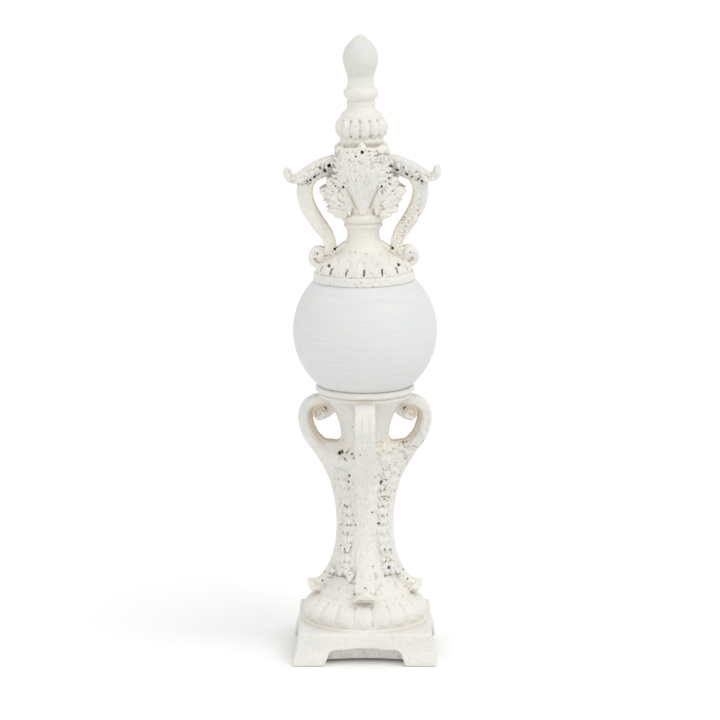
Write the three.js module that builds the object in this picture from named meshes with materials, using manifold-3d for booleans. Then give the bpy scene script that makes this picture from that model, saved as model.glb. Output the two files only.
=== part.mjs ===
// A table-top finial in cast resin: a pedestal with four scroll consoles, a plain globe and a leafy crown.
// Millimetres, +Z up. The origin is the middle of the underside, and the front looks towards -Y.
import * as THREE from 'three';
import { mergeVertices } from 'three/addons/utils/BufferGeometryUtils.js';
import Module from 'manifold-3d';

const wasm = await Module();
wasm.setup();

// Driving sizes
const HEIGHT = 610;
const GLOBE_RADIUS = 70.5;
const GLOBE_Z = 321.5;
const CROWN_LEAN_DEG = 0.95;
const SEAT_GAP = 0.3;
const RING_SEGMENTS = 32;
const STEM_SEGMENTS = 14;
const MERGE_DISTANCE = 1e-4;

// The square plinth on its four corner feet
const PLINTH_TOP_WIDTH = 131;
const PLINTH_FOOT_WIDTH = 141;
const PLINTH_HEIGHT = 32;
const PLINTH_EDGE = 2;
const ARCH_TOP_WIDTH = 66;
const ARCH_FLOOR_WIDTH = 80;
const ARCH_HEIGHT = 16.5;
const ARCH_DEPTH = 27;
const ARCH_SCOOP_WIDTH = 90;

// The round foot with its gadroons
const GADROONS = 20;
const GADROON_DEPTH = 0.05;
const GADROON_BOTTOM = 36;
const GADROON_TOP = 56.5;

// The shaft, the bell between the scrolls and the cup ring under the globe
const LEDGE_Z = 211;
const CUP_TOP_Z = 267.6;
const CUP_RING_RADIUS = 48.8;

// The four scroll consoles, one to each side
const SIDES = 4;
const SIDE_TURN = 360 / SIDES;
const CONSOLE_WIDTH = 20.5;
const CONSOLE_RIB_WIDTH = 7;
const CONSOLE_RIB_RISE = 1;
const VOLUTE_RADIUS = 6.3;
const VOLUTE_OUT = 45;
const VOLUTE_Z = 240.8;

// The foliage that hangs on the shaft between the consoles
const SPRIGS_PER_PANEL = 5;
const SPRIG_RADIUS = 7.5;
const SPRIG_LOW_Z = 84;
const SPRIG_HIGH_Z = 204;
const SPRIG_WAIST_RADIUS = 23;
const SPRIG_END_FLARE = 9;
const SPRIG_TOP_FLARE = 2;

// The collar, the petal dome and the neck of the crown
const COLLAR_Z = 372;
const COLLAR_RADIUS = 49.9;
const PETALS = 16;
const PETAL_DEPTH = 0.06;
const PETAL_BOTTOM = 380.5;
const PETAL_TOP = 399;

// The vase with its acanthus leaves
const VASE_Z = 440;
const LEAF_TOP_Z = 501;
const BROAD_LOBES = 4;
const NARROW_LOBES = 3;
const LOBE_CREST = 0.7;
const LEAF_RIM = 0.4;
const LEAF_RIDGE = 2.4;
const LEAF_CUP = 0.12;
const BROAD_LEAF_TURNS = [0, 180];
const NARROW_LEAF_TURNS = [66, 114, 246, 294];
const CORNER_CURL_TURNS = [45, 135, 225, 315];

// The two scroll handles
const HANDLE_WIDTH = 16;
const HANDLE_SCROLL_RADIUS = 10.6;
const HANDLE_SCROLL_OUT = 43.9;
const HANDLE_SCROLL_Z = 395;
const HANDLE_ROOT_RADIUS = 6;
const HANDLE_ROOT_OUT = 20.5;
const HANDLE_ROOT_Z = 401;

// The melon knob and the bulb on top
const MELON_LOBES = 14;
const MELON_DEPTH = 0.08;
const MELON_BOTTOM = 511;
const MELON_TOP = 531;

// Makes a closed geometry into a solid that can be joined and cut.
function solid(geometry) {
  geometry.deleteAttribute('normal');
  geometry.deleteAttribute('uv');
  const merged = mergeVertices(geometry, MERGE_DISTANCE);
  const index = merged.index.array;
  const triangles = [];
  for (let i = 0; i < index.length; i += 3) {
    const corners = [index[i], index[i + 1], index[i + 2]];
    if (new Set(corners).size === 3) {
      triangles.push(...corners);
    }
  }
  return new wasm.Manifold(new wasm.Mesh({
    numProp: 3,
    vertProperties: Float32Array.from(merged.attributes.position.array),
    triVerts: Uint32Array.from(triangles),
  }));
}

// Gives a joined solid back as a named mesh.
function namedMesh(name, body, color, roughness) {
  const made = body.getMesh();
  const geometry = new THREE.BufferGeometry();
  geometry.setAttribute('position', new THREE.BufferAttribute(made.vertProperties, 3));
  geometry.setIndex(new THREE.BufferAttribute(made.triVerts, 1));
  geometry.computeVertexNormals();
  const material = new THREE.MeshStandardMaterial({ color, roughness, metalness: 0 });
  const mesh = new THREE.Mesh(geometry, material);
  mesh.name = name;
  return mesh;
}

function joined(solids) {
  return solids.reduce((whole, next) => whole.add(next));
}

// Moves every vertex of a geometry by a function of its place.
function reshape(geometry, place) {
  const position = geometry.attributes.position;
  const point = new THREE.Vector3();
  for (let i = 0; i < position.count; i += 1) {
    point.fromBufferAttribute(position, i);
    place(point);
    position.setXYZ(i, point.x, point.y, point.z);
  }
  return geometry;
}

// Turns an outline about the upright axis. The outline's x is the radius and its y is the height.
function turned(outline, segments = RING_SEGMENTS) {
  return new THREE.LatheGeometry(outline, segments).rotateX(Math.PI / 2);
}

// An outline from the axis, through rings given as [radius, height], back to the axis.
function profile(rings) {
  const points = rings.map(([radius, height]) => new THREE.Vector2(radius, height));
  points.unshift(new THREE.Vector2(0, rings[0][1]));
  points.push(new THREE.Vector2(0, rings.at(-1)[1]));
  return points;
}

// A smooth stretch of outline through a few rings, cut into an even number of steps.
function swept(rings, steps) {
  const curve = new THREE.SplineCurve(rings.map(([radius, height]) => new THREE.Vector2(radius, height)));
  return curve.getPoints(steps).map((point) => [point.x, point.y]);
}

// A round moulding that bulges outwards between two heights.
function bead(radius, low, high, steps) {
  const half = (high - low) / 2;
  const rings = [];
  for (let i = 0; i <= steps; i += 1) {
    const turn = -Math.PI / 2 + (Math.PI * i) / steps;
    rings.push([radius - half + half * Math.cos(turn), low + half + half * Math.sin(turn)]);
  }
  return rings;
}

// Scallops a turned shape into lobes between two heights, deepest in the middle of that stretch.
function lobed(geometry, lobes, depth, low, high) {
  return reshape(geometry, (point) => {
    const along = THREE.MathUtils.clamp((point.z - low) / (high - low), 0, 1);
    const turn = Math.atan2(point.y, point.x) + Math.PI / 2;
    const groove = 1 - Math.abs(Math.cos((lobes * turn) / 2));
    const keep = 1 - depth * groove * Math.sin(Math.PI * along);
    point.x *= keep;
    point.y *= keep;
  });
}

// A flat plate of a given width, cut to an outline in the plane of radius and height, facing sideways.
function plate(outline, width) {
  const geometry = new THREE.ExtrudeGeometry(new THREE.Shape(outline), { depth: width, bevelEnabled: false });
  return geometry.translate(0, 0, -width / 2).rotateX(Math.PI / 2);
}

// The outline of a strap that follows a curve. Each ring is [radius, height, thickness].
function strap(rings, steps) {
  const curve = new THREE.CatmullRomCurve3(rings.map((ring) => new THREE.Vector3(...ring)));
  const near = [];
  const far = [];
  for (let i = 0; i <= steps; i += 1) {
    const point = curve.getPoint(i / steps);
    const along = curve.getTangent(i / steps);
    const side = new THREE.Vector2(-along.y, along.x).normalize().multiplyScalar(point.z / 2);
    near.push(new THREE.Vector2(point.x, point.y).add(side));
    far.unshift(new THREE.Vector2(point.x, point.y).sub(side));
  }
  return [...near, ...far];
}

function disc(radius, x, z, width, segments) {
  const outline = new THREE.Path().absarc(x, z, radius, 0, 2 * Math.PI).getPoints(segments);
  outline.pop();
  return plate(outline, width);
}

function around(geometry, degrees) {
  return geometry.clone().rotateZ(THREE.MathUtils.degToRad(degrees));
}

// A squashed ball, for a bud or the tip of a leaf.
function bud(radius, scale, at) {
  const geometry = new THREE.SphereGeometry(radius, 6, 3);
  return geometry.scale(...scale).translate(...at);
}

// An acanthus leaf that faces the front. Its spine follows [radius, height] rings, it is bent round the
// axis, and each lobe of its rim swells slowly and is cut back sharply.
function leaf({ spine, widths, thickness, lobes, cut, wrap, columns }) {
  const rows = lobes * 2;
  const path = new THREE.SplineCurve(spine.map((ring) => new THREE.Vector2(...ring)));
  const spread = new THREE.SplineCurve(widths.map((width, i) => new THREE.Vector2(i, width)));
  const box = new THREE.BoxGeometry(1, 1, 1, columns, rows, 1);
  return reshape(box, (point) => {
    const along = THREE.MathUtils.clamp(point.y + 0.5, 0, 1);
    const middle = path.getPoint(along);
    const lobe = (along * lobes) % 1;
    const swell = lobe > LOBE_CREST ? (1 - lobe) / (1 - LOBE_CREST) : lobe / LOBE_CREST;
    const atRim = Math.abs(point.x) > LEAF_RIM;
    const across = point.x * spread.getPoint(along).y * (atRim ? 1 - cut * (1 - swell) : 1);
    const ridge = point.z > 0 ? 1 - 2 * Math.abs(point.x) : 0;
    const depth = point.z * thickness + ridge * LEAF_RIDGE;
    const turn = across / wrap;
    const radius = middle.x + depth - LEAF_CUP * Math.abs(across);
    point.set(radius * Math.sin(turn), -radius * Math.cos(turn), middle.y);
  });
}

// The square plinth: four flared sides, and an arch cut into each that leaves the corner feet. Behind each
// arch the recess is scooped out in plan, deepest in the middle.
function plinth() {
  const toCorner = Math.SQRT1_2;
  const top = PLINTH_TOP_WIDTH * toCorner;
  const foot = PLINTH_FOOT_WIDTH * toCorner;
  const side = swept([[foot, 0], [foot - 1.2, 6], [top + 2.2, 16], [top, PLINTH_HEIGHT - PLINTH_EDGE]], 4);
  const outline = profile([...side, [top - PLINTH_EDGE, PLINTH_HEIGHT]]);
  const block = solid(turned(outline, SIDES).rotateZ(Math.PI / SIDES));
  const half = ARCH_TOP_WIDTH / 2;
  const arch = [
    new THREE.Vector2(-ARCH_FLOOR_WIDTH / 2, -1),
    new THREE.Vector2(ARCH_FLOOR_WIDTH / 2, -1),
    new THREE.Vector2(half + 1.5, ARCH_HEIGHT - 3),
    new THREE.Vector2(half - 3, ARCH_HEIGHT - 0.5),
    new THREE.Vector2(0, ARCH_HEIGHT + 1),
    new THREE.Vector2(-half + 3, ARCH_HEIGHT - 0.5),
    new THREE.Vector2(-half - 1.5, ARCH_HEIGHT - 3),
  ];
  const tunnel = solid(plate(arch, PLINTH_FOOT_WIDTH).translate(0, -PLINTH_FOOT_WIDTH / 2, 0));
  const scoop = solid(turned(profile([[1, -2], [1, PLINTH_HEIGHT]]), STEM_SEGMENTS)
    .scale(ARCH_SCOOP_WIDTH / 2, ARCH_DEPTH, 1)
    .translate(0, -PLINTH_FOOT_WIDTH / 2, 0));
  const recess = tunnel.intersect(scoop);
  let cut = block;
  for (let i = 0; i < SIDES; i += 1) {
    cut = cut.subtract(recess.rotate([0, 0, SIDE_TURN * i]));
  }
  return cut;
}

// The round foot: a flat rim, a ring of gadroons and a smooth dome.
function roundFoot() {
  const lobes = swept([[59.5, GADROON_BOTTOM], [61.2, 41], [59, 47.5], [52.5, 53.5], [46.5, GADROON_TOP]], 4);
  const outline = profile([
    [63, PLINTH_HEIGHT - 1],
    [63, 34],
    [60.5, 35.5],
    ...lobes,
    [45, 57.5],
    [38, 68],
  ]);
  return solid(lobed(turned(outline, GADROONS * 2), GADROONS, GADROON_DEPTH, GADROON_BOTTOM, GADROON_TOP));
}

// The shaft, the ledge it ends in, the bell above and the two rings of the cup.
function shaft() {
  const stem = swept([[40, 66], [31.5, 80], [26, 98], [23.5, 122], [24.5, 150], [29, 185], [31.5, 206]], 5);
  const bell = swept([[21.6, LEDGE_Z + 2.5], [23.5, 224], [28, 238], [35.5, 250], [42, 255.5]], 4);
  const body = profile([[40, 60], ...stem, [29, LEDGE_Z], ...bell, [42, 258]]);
  const rings = profile([
    [40, 254.5],
    [44, 256.5],
    [45.7, 257.2],
    [45.7, 259.2],
    [44.6, 260.6],
    ...bead(CUP_RING_RADIUS, 261.2, CUP_TOP_Z, 3),
  ]);
  return solid(turned(body, STEM_SEGMENTS)).add(solid(turned(rings)));
}

// One console, to the right: a leafy toe, a reeded strap that swings out, and a volute on top.
function scrollConsole() {
  const face = swept([
    [50, 59], [55, 64], [56.6, 69], [51, 70.2], [45, 73], [38, 82], [29.6, 100.5], [26.2, 122],
    [28.2, 146.4], [36, 173.8], [49, 198.1], [59.4, 213.3], [64.9, 228], [65.3, 240], [60.5, 250],
    [51.5, 256.2], [42, 257.2],
  ], 24);
  const loop = swept([
    [33, 246.5], [30.5, 243], [26, 232], [24, 222], [24.5, 215], [32, 212.3], [40, 214.4], [46.3, 220.6],
    [50.3, 229.5], [51.4, 240],
  ], 10);
  const web = [[12, 62], ...face.map(([x, z]) => [x - CONSOLE_RIB_RISE, z]), [12, 257.5]];
  const hole = new THREE.Path(loop.map(([x, z]) => new THREE.Vector2(x, z)));
  hole.absarc(VOLUTE_OUT, VOLUTE_Z, VOLUTE_RADIUS, 0.03 * Math.PI, -0.93 * Math.PI, true);
  const strapPlate = solid(plate(web.map(([x, z]) => new THREE.Vector2(x, z)), CONSOLE_WIDTH));
  const holePlate = solid(plate(hole.getPoints(4).reverse(), CONSOLE_WIDTH + 2));
  const crest = face.slice(6, -5).filter((point, i) => i % 2 === 0);
  const rib = [
    ...crest.map(([x, z]) => new THREE.Vector2(x, z)),
    ...crest.map(([x, z]) => new THREE.Vector2(x - 2 * CONSOLE_RIB_RISE, z)).reverse(),
  ];
  return strapPlate.subtract(holePlate).add(solid(plate(rib, CONSOLE_RIB_WIDTH)));
}

// A column of sprigs on the shaft, at 45 degrees between two consoles. It follows the shaft's waist.
function foliage() {
  const sprigs = [];
  for (let i = 0; i < SPRIGS_PER_PANEL; i += 1) {
    const along = i / (SPRIGS_PER_PANEL - 1);
    const z = THREE.MathUtils.lerp(SPRIG_LOW_Z, SPRIG_HIGH_Z, along);
    const flare = SPRIG_END_FLARE * (2 * along - 1) ** 2 + SPRIG_TOP_FLARE * along;
    const radius = SPRIG_WAIST_RADIUS + flare;
    const size = SPRIG_RADIUS * (0.9 + 0.35 * along);
    sprigs.push(solid(bud(size, [1, 0.6, 1.35], [0, -radius, z]).rotateZ(Math.PI / 4)));
  }
  return joined(sprigs);
}

function ball(radius) {
  const arc = new THREE.Path().absarc(0, 0, radius, -Math.PI / 2, Math.PI / 2);
  return turned(arc.getPoints(RING_SEGMENTS / 4));
}

// The ball that a neighbour of the globe is hollowed with, facet for facet the globe's own, a gap larger.
function seat(lean) {
  const larger = ball(GLOBE_RADIUS + SEAT_GAP).rotateY(THREE.MathUtils.degToRad(lean));
  return solid(larger.translate(0, 0, GLOBE_Z));
}

function pedestal() {
  const parts = [roundFoot(), shaft()];
  const arm = scrollConsole();
  const column = foliage();
  for (let i = 0; i < SIDES; i += 1) {
    const turn = SIDE_TURN * i;
    parts.push(arm.rotate([0, 0, turn]), column.rotate([0, 0, turn]));
  }
  return plinth().add(joined(parts)).subtract(seat(0));
}

// The collar, the petals above it and the neck, up to the bead under the vase.
function collarAndNeck() {
  const petals = swept([[46.6, PETAL_BOTTOM], [46.4, 385], [42, 390], [34, 395], [25, PETAL_TOP]], 4);
  const neck = swept([[22.5, 400.5], [18.8, 406.5], [16, 413.5], [15.6, 419], [16.6, 423.5]], 3);
  const dome = profile([
    [COLLAR_RADIUS, COLLAR_Z - 0.5],
    [COLLAR_RADIUS - 0.4, 375],
    [COLLAR_RADIUS - 1.2, 379.8],
    ...petals,
    [20, 400.5],
  ]);
  const upper = profile([
    [24.5, 398],
    ...neck,
    [18.8, 424.4],
    [18.8, 427.6],
    [17.6, 428.4],
    ...bead(22, 429, 440.5, 3),
  ]);
  const lower = lobed(turned(dome, PETALS * 2), PETALS, PETAL_DEPTH, PETAL_BOTTOM, PETAL_TOP);
  return solid(lower).add(solid(turned(upper, STEM_SEGMENTS)));
}

function vase() {
  const body = swept([[19.5, VASE_Z - 4], [24, 447], [27.5, 462], [27, 482], [24, 497]], 4);
  const outline = profile([...body, [19.5, 503], [21.3, 506.5], [21.5, 510.5], [20.5, 512]]);
  return solid(turned(outline, STEM_SEGMENTS));
}

// Leaves round the vase: a broad one to the front and back, and two narrower ones on each side.
function vaseLeaves() {
  const broad = leaf({
    spine: [[20.5, VASE_Z], [24, 455], [27.5, 475], [29, 492], [30, LEAF_TOP_Z + 5]],
    widths: [12, 22, 34, 46, 42, 16],
    thickness: 5,
    lobes: BROAD_LOBES,
    cut: 0.16,
    wrap: 34,
    columns: 4,
  });
  const narrow = leaf({
    spine: [[17.5, 433], [26, 441], [31, 457], [28, 478], [22.5, LEAF_TOP_Z - 5]],
    widths: [5, 15, 24, 26, 22],
    thickness: 16,
    lobes: NARROW_LOBES,
    cut: 0.3,
    wrap: 30,
    columns: 2,
  });
  const curl = bud(6.2, [1.2, 0.9, 0.8], [0, -27.5, LEAF_TOP_Z + 2]);
  const corner = bud(5.4, [1.1, 1, 0.9], [0, -25, LEAF_TOP_Z - 2]);
  const set = [
    ...BROAD_LEAF_TURNS.flatMap((turn) => [around(broad, turn), around(curl, turn)]),
    ...NARROW_LEAF_TURNS.map((turn) => around(narrow, turn)),
    ...CORNER_CURL_TURNS.map((turn) => around(corner, turn)),
  ];
  return joined(set.map(solid));
}

// One handle, to the right: a leafy arm with an upturned tip, an S-shaped strap and a scroll on the dome.
function handle() {
  const band = strap([
    [24, 484, 10], [38, 479.5, 13], [50.5, 473.5, 16], [56, 461, 16.5], [53.2, 446, 16], [45.2, 431, 15],
    [36.2, 418, 14.2], [32, 406, 12.6], [33.5, 394, 11], [41, 386.5, 7],
  ], 18);
  const blade = strap([
    [22, 491.5, 8], [38, 486.6, 10.5], [51, 481.4, 11], [61, 473.4, 10], [68.5, 471.4, 8.6], [73.2, 474.8, 6],
    [73.6, 480.6, 2.5],
  ], 10);
  return joined([
    solid(plate(band, HANDLE_WIDTH)),
    solid(plate(blade, HANDLE_WIDTH + 5)),
    solid(disc(HANDLE_SCROLL_RADIUS, HANDLE_SCROLL_OUT, HANDLE_SCROLL_Z, HANDLE_WIDTH, 8)),
    solid(disc(HANDLE_ROOT_RADIUS, HANDLE_ROOT_OUT, HANDLE_ROOT_Z, HANDLE_WIDTH - 4, 5)),
  ]);
}

// The melon knob, the rings above it and the bulb.
function topKnob() {
  const knob = swept([[20.5, MELON_BOTTOM], [24.8, 516], [26.2, 522], [24.5, 527.5], [20.7, MELON_TOP]], 4);
  const melon = solid(lobed(
    turned(profile([[19, MELON_BOTTOM - 1], ...knob, [18, MELON_TOP + 0.5]]), MELON_LOBES * 2),
    MELON_LOBES,
    MELON_DEPTH,
    MELON_BOTTOM - 2,
    MELON_TOP + 2,
  ));
  const shoulder = swept([[20.8, 530.8], [19.4, 534], [15, 537.8], [13, 541.5]], 3);
  const bulb = swept([
    [11.9, 565.5], [13.4, 571], [16.4, 580], [17.7, 588.5], [16.1, 597], [11.6, 604], [6, 608.7], [0, HEIGHT],
  ], 6);
  const outline = profile([
    [19, 529],
    ...shoulder,
    [13.5, 543],
    [13.5, 546.2],
    [12.6, 547.4],
    ...bead(17.2, 547.6, 561, 4),
    [12.6, 563],
    ...bulb.slice(0, -1),
    [0.6, HEIGHT],
  ]);
  return melon.add(solid(turned(outline, STEM_SEGMENTS)));
}

function crown() {
  const arm = handle();
  const whole = joined([collarAndNeck(), vase(), vaseLeaves(), arm, arm.rotate([0, 0, 180]), topKnob()]);
  return whole.subtract(seat(CROWN_LEAN_DEG));
}

const IVORY = 0xe9e5dc;
const COOL_WHITE = 0xdfe2e0;
const CARVED_ROUGHNESS = 0.75;
const GLOBE_ROUGHNESS = 0.6;

const finial = new THREE.Group();
finial.add(namedMesh('pedestal', pedestal(), IVORY, CARVED_ROUGHNESS));

const globe = namedMesh('globe', solid(ball(GLOBE_RADIUS)), COOL_WHITE, GLOBE_ROUGHNESS);
globe.position.z = GLOBE_Z;
finial.add(globe);

// The crown leans a little to the left about the middle of the globe.
const leaning = new THREE.Group();
leaning.position.z = GLOBE_Z;
leaning.rotation.y = THREE.MathUtils.degToRad(-CROWN_LEAN_DEG);
const crownMesh = namedMesh('crown', crown(), IVORY, CARVED_ROUGHNESS);
crownMesh.position.z = -GLOBE_Z;
leaning.add(crownMesh);
finial.add(leaning);

export default finial;
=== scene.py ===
"""A table-top finial in cast resin: a pedestal with four scroll consoles, a plain globe and a leafy crown.

Each casting is carved in a block of small cubes that hold the distance to its surface, and then skinned.
Carving sizes are in millimetres, and the finished pieces are in metres.
"""

import itertools
import math

import bmesh
import bpy
import numpy as np
import openvdb as vdb
from mathutils import Matrix, Vector


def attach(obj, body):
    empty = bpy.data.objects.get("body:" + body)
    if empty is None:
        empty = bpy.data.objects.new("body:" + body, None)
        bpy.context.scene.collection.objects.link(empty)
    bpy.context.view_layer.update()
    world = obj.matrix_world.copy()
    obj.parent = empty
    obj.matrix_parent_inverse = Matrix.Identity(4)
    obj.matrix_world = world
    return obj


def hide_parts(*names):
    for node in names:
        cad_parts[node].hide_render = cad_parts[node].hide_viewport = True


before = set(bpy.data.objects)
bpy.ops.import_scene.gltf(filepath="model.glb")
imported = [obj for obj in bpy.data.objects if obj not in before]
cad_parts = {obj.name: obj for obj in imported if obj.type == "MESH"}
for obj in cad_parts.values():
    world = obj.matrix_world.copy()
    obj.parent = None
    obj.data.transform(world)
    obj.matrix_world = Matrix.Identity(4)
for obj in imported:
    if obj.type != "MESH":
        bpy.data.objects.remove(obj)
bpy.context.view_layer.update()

# Driving sizes, in millimetres
MM = 0.001
HEIGHT = 610.0
GLOBE_RADIUS = 70.5
GLOBE_Z = 321.5
CROWN_LEAN = math.radians(0.95)
CUBE = 0.5
FAR = 6.0
SEAT_GAP = 0.3
MOST_TRIANGLES = 185000
SEED = 8096
TURN = 2 * math.pi
QUARTER = math.pi / 2
# How deep the painted shade inside a hole lies, in radii of the hole
HOLE_SHADE_DEPTH = 1.75

# Pedestal
PLINTH_FOOT = 70.5
PLINTH_HEIGHT = 32.0
ARCH_DEPTH = 19.0
ARCH_SCOOP = 56.0
GADROONS = 20
GADROON_TURN = math.radians(10.8)
CONSOLE_HALF = 9.9
CONSOLE_BAND = 14.0
VOLUTE = (44.8, 240.6, 6.9)

# Crown
PETALS = 16
MELON_LOBES = 14
MELON_TURN = math.radians(4)
RIM_CURLS = 30
HANDLE_HALF = 8.0
BLADE_HALF = 10.5
HANDLE_SCROLL = (43.9, 395.0, 10.4)

rng = np.random.default_rng(SEED)
pick = rng.uniform


def sway(spread):
    """A random offset to either side."""
    return rng.normal(0, spread)


# Curves and outlines

def single(values):
    """Numbers in single precision."""
    return np.asarray(values, np.float32)


def smooth(points, steps=8, closed=False):
    """More points along a smooth curve through the given ones."""
    p = np.array(points, float)
    if closed:
        p = np.vstack([p[-1], p, p[0], p[1]])
    else:
        p = np.vstack([2 * p[0] - p[1], p, 2 * p[-1] - p[-2]])
    out = []
    for a, b, c, d in zip(p, p[1:], p[2:], p[3:]):
        for i in range(steps):
            t = i / steps
            out.append(0.5 * (2 * b + (c - a) * t + (2 * a - 5 * b + 4 * c - d) * t ** 2
                              + (3 * b - a - 3 * c + d) * t ** 3))
    if not closed:
        out.append(p[-2])
    return np.array(out)


def bead(radius, low, high, least):
    """Rings of a round moulding between two heights, cut off where it would go in past the least radius."""
    half = (high - low) / 2
    turns = np.linspace(-QUARTER, QUARTER, 11)
    return [(max(least, radius - half + half * math.cos(t)), low + half + half * math.sin(t)) for t in turns]


def edge_distance(u, v, points, closed=True):
    """Distance from each place (u, v) to an outline, and how far along it the nearest place is."""
    u, v = np.broadcast_arrays(u, v)
    p = np.array(points, float)
    ends = np.roll(p, -1, axis=0) if closed else p[1:]
    starts = p if closed else p[:-1]
    best = np.full(u.shape, 1e9)
    along = np.zeros(u.shape)
    inside = np.zeros(u.shape, bool)
    run = 0.0
    for (ax, ay), (bx, by) in zip(starts, ends):
        ex, ey = bx - ax, by - ay
        length2 = ex * ex + ey * ey
        if length2 < 1e-12:
            continue
        t = np.clip(((u - ax) * ex + (v - ay) * ey) / length2, 0, 1)
        far2 = (u - ax - t * ex) ** 2 + (v - ay - t * ey) ** 2
        nearer = far2 < best
        best = np.where(nearer, far2, best)
        along = np.where(nearer, run + t * math.sqrt(length2), along)
        run += math.sqrt(length2)
        if closed:
            between = (ay <= v) != (by <= v)
            cross = ax + (v - ay) * ex / (ey if abs(ey) > 1e-12 else 1e-12)
            inside ^= between & (u < cross)
    distance = np.sqrt(best)
    return (np.where(inside, -distance, distance) if closed else distance), along / max(run, 1e-9)


def blend_min(a, b, k):
    """Joins two distances with a fillet of size k."""
    h = np.clip(0.5 + 0.5 * (b - a) / k, 0, 1)
    return b + (a - b) * h - k * h * (1 - h)


def blend_max(a, b, k):
    return -blend_min(-a, -b, k)


def bump(x, middle, width):
    return np.exp(-((x - middle) / width) ** 2)


def ramp(x, low, high):
    t = np.clip((x - low) / (high - low), 0, 1)
    return t * t * (3 - 2 * t)


class Block:
    """A box of cubes, each with its distance to the surface, below nought inside."""

    def __init__(self, low, high):
        self.lay([np.arange(a, b + CUBE, CUBE) for a, b in zip(low, high)])
        self.d = np.full([len(a) for a in self.axes], FAR, np.float32)

    def lay(self, axes):
        """Sets the places of the cubes along each axis."""
        self.axes = axes
        self.low = np.array([a[0] for a in axes])
        self.x, self.y, self.z = (single(np.expand_dims(a, tuple({0, 1, 2} - {i})))
                                  for i, a in enumerate(axes))
        # Places and radii of the painted shade inside holes
        self.hole_shades = []

    def by_radius(self):
        """The radii for a table over radius and height, and the function that reads it for every cube."""
        r = np.sqrt(self.x ** 2 + self.y ** 2)[:, :, 0]
        place = r / CUBE
        low = place.astype(int)
        part = (place - low)[:, :, None]
        radii = np.arange(0, r.max() + 2 * CUBE, CUBE)
        return radii, lambda table: table[low] * (1 - part) + table[low + 1] * part

    def turned(self, outline):
        """The distance to an outline turned about the axis, for every cube."""
        radii, read = self.by_radius()
        return read(single(edge_distance(radii[:, None], self.axes[2], outline)[0]))

    def flat(self, outline, closed=True):
        """Distance and run along an outline in the plane of x and z, the same for every y."""
        distance, along = edge_distance(self.axes[0][:, None], self.axes[2], outline, closed)
        return single(distance[:, None, :]), single(along[:, None, :])

    def strip(self, line, thickness):
        """Distance to a strip along a line, with its thickness at even steps, and the run along it."""
        away, run = self.flat(line, closed=False)
        return away - np.interp(run, np.linspace(0, 1, len(thickness)), thickness) / 2, run

    def near(self, low, high):
        """The part of the block inside a box, as slices."""
        starts = np.clip((np.array(low) - self.low) / CUBE, 0, self.d.shape).astype(int)
        ends = np.clip((np.array(high) - self.low) / CUBE + 2, 0, self.d.shape).astype(int)
        return tuple(slice(a, max(a, b)) for a, b in zip(starts, ends))

    def local(self, middle, reach):
        """The cubes around a place, and how far off it they are along each axis."""
        cut = self.near(np.array(middle) - reach, np.array(middle) + reach)
        x, y, z = self.x[cut[0]], self.y[:, cut[1]], self.z[:, :, cut[2]]
        return cut, (x - middle[0], y - middle[1], z - middle[2])

    def mirrored(self):
        """The whole block from its quarter where x and y are not below nought."""
        whole = Block.__new__(Block)
        whole.lay([np.concatenate([-a[:0:-1], a]) for a in self.axes[:2]] + [self.axes[2]])
        d = np.concatenate([self.d[:0:-1], self.d], axis=0)
        whole.d = np.ascontiguousarray(np.concatenate([d[:, :0:-1], d], axis=1))
        return whole


def dot(a, b):
    return sum(p * q for p, q in zip(a, b))


def axes_of(direction, face):
    """Three unit axes: along a leaf, across it, and out of its face."""
    along = Vector(direction).normalized()
    out = (Vector(face) - along * Vector(face).dot(along)).normalized()
    return np.array([along, along.cross(out), out])


def leaflet(block, root, tip, width, thickness, face, fold, ribs=3, blend=0.6):
    """A pointed leaf blade from root to tip, with a folded middle and fine ribs."""
    length = float(np.linalg.norm(tip - root))
    cut, offset = block.local((root + tip) / 2, length / 2 + width)
    s, t, n = (dot(axis, offset) for axis in axes_of(tip - root, face))
    along = np.clip(s / length + 0.5, 0.02, 1)
    half = width / 2 * np.maximum(np.sin(math.pi * along ** 0.75), 0) ** 0.8 + 0.25
    crease = fold * np.abs(t) - fold * bump(t, 0, width * 0.12)
    crease = crease + 0.18 * np.cos(TURN * (along * ribs - np.abs(t) / width))
    shell = np.sqrt((t / half) ** 2 + ((n + crease) / (thickness / 2)) ** 2 + 1e-6)
    d = np.maximum((shell - 1) * thickness / 2, np.abs(s) - length / 2)
    block.d[cut] = blend_min(block.d[cut], single(d), blend)


def ball(block, middle, radius, squash=(1, 1, 1), cut_away=False, blend=0.8):
    """A squashed ball, joined with a fillet or cut away."""
    cut, offset = block.local(middle, radius * max(squash) + 3)
    r = np.sqrt(sum((o / k) ** 2 for o, k in zip(offset, squash)))
    d = single((r - radius) * min(squash))
    if cut_away:
        block.d[cut] = blend_max(block.d[cut], -d, min(blend, radius))
    else:
        block.d[cut] = blend_min(block.d[cut], d, blend)


def drill(block, mouth, inward, radius, depth):
    """A tapering hole, from a little outside its mouth."""
    direction = np.array(Vector(inward).normalized())
    start = mouth - direction * 1.5
    middle = start + direction * depth / 2
    cut, offset = block.local(middle, depth / 2 + radius + 2)
    s = dot(direction, offset) + depth / 2
    across = np.sqrt(np.maximum(sum(o * o for o in offset) - (s - depth / 2) ** 2, 0))
    t = np.clip(s / depth, 0, 1)
    d = np.maximum(across - radius * (1 - 0.55 * t), np.maximum(-s, s - depth))
    block.d[cut] = np.maximum(block.d[cut], -single(d))


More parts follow.
